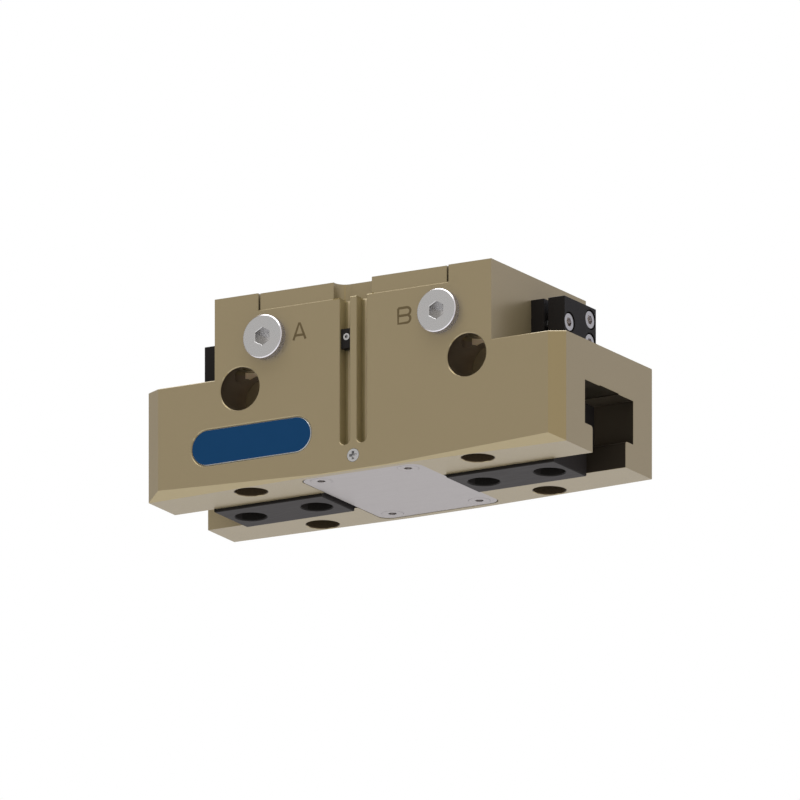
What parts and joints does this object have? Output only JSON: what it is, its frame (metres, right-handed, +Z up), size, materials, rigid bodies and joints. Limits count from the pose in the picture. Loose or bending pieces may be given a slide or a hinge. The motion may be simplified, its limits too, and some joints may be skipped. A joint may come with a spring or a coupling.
{
  "type": "pneumatic parallel gripper",
  "caption": "Stepped metal gripper body with a T-slot underneath in which jaws slide apart, driven by an oval piston and a wedge hook; bolts to a robot by its flat top.",
  "frame": {"origin": "centre of the top mounting face", "axes": "+X along the jaw travel, +Y to the back, +Z up, out of the mounting face"},
  "size_m": [0.151, 0.0621, 0.063],
  "materials": {
    "hard_anodised_aluminium": "olive-bronze hard anodised, satin",
    "stainless_steel": "fine brushed",
    "zinc_plated_steel": "zinc plated",
    "blue_label": "blue printed film, bare",
    "black_anodised_aluminium": "black anodised",
    "black_hardened_steel": "blackened, ground",
    "ground_steel": "ground",
    "turned_aluminium": "turned",
    "seal_rubber": "moulded",
    "guide_plastic": "filled sliding plastic"
  },
  "bodies": {
    "housing": {"housing": "hard_anodised_aluminium", "cylinder_cover": "hard_anodised_aluminium", "bottom_cover_plate": "stainless_steel", "bottom_cover_screws": "stainless_steel", "cylinder_cover_screws": "zinc_plated_steel", "port_plug_a": "zinc_plated_steel", "port_plug_b": "zinc_plated_steel", "purge_plug": "zinc_plated_steel", "sensor_stop_screw": "zinc_plated_steel", "bracket_mounting_screws": "zinc_plated_steel", "bracket_clamp_screws": "zinc_plated_steel", "name_plate": "blue_label", "sensor_stop": "black_anodised_aluminium", "sensor_bracket_right": "black_anodised_aluminium", "sensor_bracket_left": "black_anodised_aluminium", "cylinder_cover_seal": "seal_rubber", "rod_seal": "seal_rubber", "port_plug_seals": "seal_rubber"},
    "piston": {"piston": "turned_aluminium", "piston_seal": "seal_rubber", "piston_guide_band": "guide_plastic", "piston_magnets": "ground_steel", "wedge_hook": "ground_steel", "wedge_hook_screw": "ground_steel"},
    "jaw_right": {"base_jaw_right": "black_hardened_steel", "control_cam_right": "ground_steel", "control_cam_screw_right": "ground_steel"},
    "jaw_left": {"base_jaw_left": "black_hardened_steel", "control_cam_left": "ground_steel", "control_cam_screw_left": "ground_steel"}
  },
  "joints": [
    {"name": "piston_slide", "type": "slide", "parent": "housing", "child": "piston", "axis": [0, 0, -1], "range_m": [0, 0.01]},
    {"name": "jaw_right_slide", "type": "slide", "parent": "housing", "child": "jaw_right", "axis": [1, 0, 0], "range_m": [0, 0.01]},
    {"name": "jaw_left_slide", "type": "slide", "parent": "housing", "child": "jaw_left", "axis": [-1, 0, 0], "range_m": [0, 0.01]}
  ],
  "couplings": [
    {"joint": "jaw_right_slide", "follows": "piston_slide", "ratio": 1},
    {"joint": "jaw_left_slide", "follows": "piston_slide", "ratio": 1}
  ]
}
